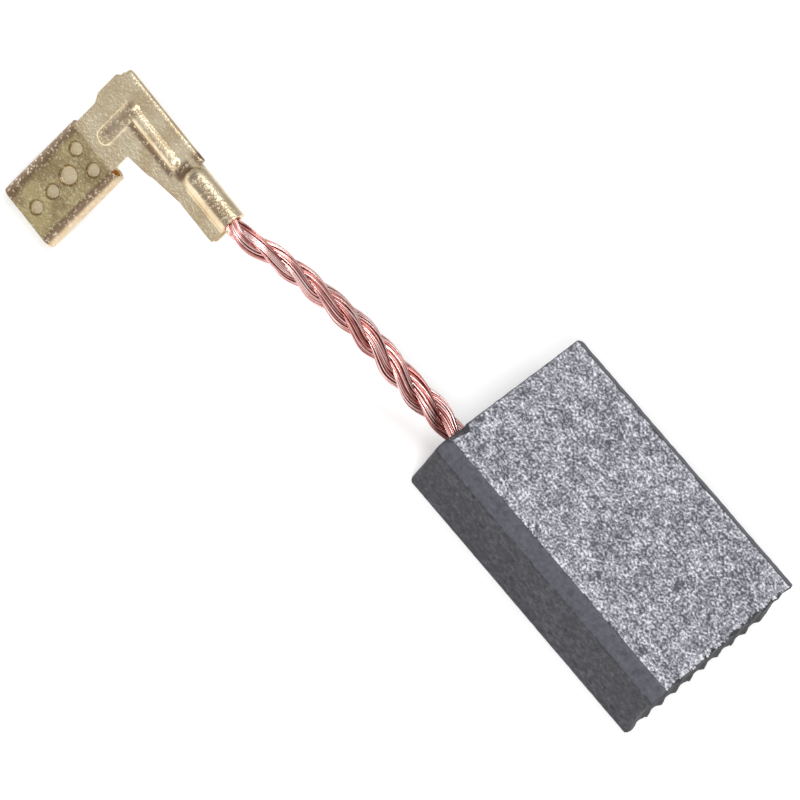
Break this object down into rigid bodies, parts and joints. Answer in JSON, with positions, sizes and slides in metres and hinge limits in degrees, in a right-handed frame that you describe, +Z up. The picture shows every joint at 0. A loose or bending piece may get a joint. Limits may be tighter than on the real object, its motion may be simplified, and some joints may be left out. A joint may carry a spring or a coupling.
{
  "type": "carbon brush",
  "caption": "Carbon brush: rectangular graphite block with a hollowed, ridged contact face, flexible copper pigtail and flag push-on terminal.",
  "frame": {"origin": "middle of the carbon block's underside", "axes": "+X along the block from the pigtail end to the ridged contact face, +Y across its width, +Z up through its thickness"},
  "size_m": [0.0586, 0.027, 0.0122],
  "materials": {
    "carbon": "matt graphite, silvery and grainy on the large faces",
    "tamping_powder": "matt packed copper and graphite powder",
    "copper_rope": "bright bare copper wires",
    "terminal_brass": "pale, slightly grained brass sheet"
  },
  "bodies": {
    "root": {"carbon_block": "carbon", "tamping_plug": "tamping_powder", "pigtail": "copper_rope", "terminal": "terminal_brass"}
  },
  "joints": []
}
